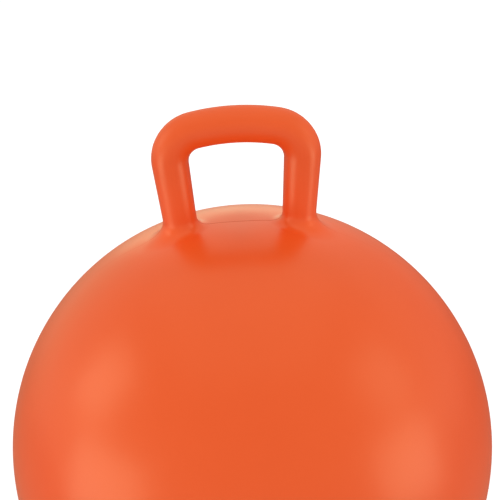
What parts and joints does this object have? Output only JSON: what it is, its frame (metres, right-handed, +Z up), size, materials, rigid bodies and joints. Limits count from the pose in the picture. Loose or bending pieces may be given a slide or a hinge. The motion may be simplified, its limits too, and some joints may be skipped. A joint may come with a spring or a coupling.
{
  "type": "hopper ball",
  "caption": "Air-filled bouncing ball moulded in one with a hollow carrying handle, with a flush push-in air valve in its side.",
  "frame": {"origin": "middle of the flat patch that the ball stands on", "axes": "+Z up through the ball's centre and the middle of the handle; +X along the handle, from leg to leg; +Y out through the air valve"},
  "size_m": [0.4498, 0.4498, 0.5521],
  "materials": {
    "skin": "satin moulded soft PVC, orange",
    "seat": "matt soft PVC, the same orange, a little deeper",
    "plug": "matt natural-white polyethylene"
  },
  "bodies": {
    "ball": {"ball_shell": "skin", "handle": "skin", "valve_seat": "seat"},
    "plug": {"valve_plug": "plug"}
  },
  "joints": [
    {"name": "plug_pull", "type": "slide", "parent": "ball", "child": "plug", "axis": [0, 1, 0], "range_m": [0, 0.035]}
  ]
}
